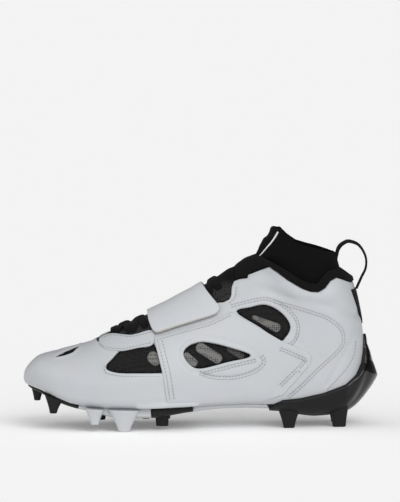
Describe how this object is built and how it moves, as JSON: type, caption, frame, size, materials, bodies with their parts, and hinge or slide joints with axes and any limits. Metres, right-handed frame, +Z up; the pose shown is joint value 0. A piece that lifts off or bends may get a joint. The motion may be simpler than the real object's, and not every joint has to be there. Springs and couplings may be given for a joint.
{
  "type": "football cleat",
  "caption": "Mid-cut american football cleat, left shoe: white windowed upper with a forefoot strap, black knit ankle sock, studded plates and a glossy heel counter with a spur.",
  "frame": {"origin": "on the floor plane, under the middle of the shoe's bounding box", "axes": "+X from toe to heel, +Y from the lateral side to the medial side, +Z up from the studs; the toe points to -X"},
  "size_m": [0.3039, 0.0989, 0.1707],
  "materials": {
    "white_upper": "smooth coated, semi-matte",
    "white_plate": "moulded, satin",
    "black_knit": "knitted, matte",
    "black_plate": "moulded, glossy counter and satin studs",
    "insole_foam": "cloth over foam, matte",
    "lace_cord": "flat woven lace, matte",
    "webbing": "woven webbing, matte"
  },
  "bodies": {
    "root": {"upper": "white_upper", "bootie": "black_knit", "insole": "insole_foam", "forefoot_plate": "black_plate", "shank_plate": "white_plate", "heel_plate": "black_plate", "wing_lateral": "white_plate", "wing_medial": "white_plate", "collar_rim": "black_knit", "tongue": "black_knit", "strap": "white_upper", "midfoot_panel_lateral": "white_upper", "midfoot_panel_medial": "white_upper", "eyestay_flap_lateral": "white_upper", "eyestay_flap_medial": "white_upper", "lace_front": "lace_cord", "lace_back": "lace_cord", "heel_tab": "black_knit", "pull_loop": "webbing"}
  },
  "joints": []
}
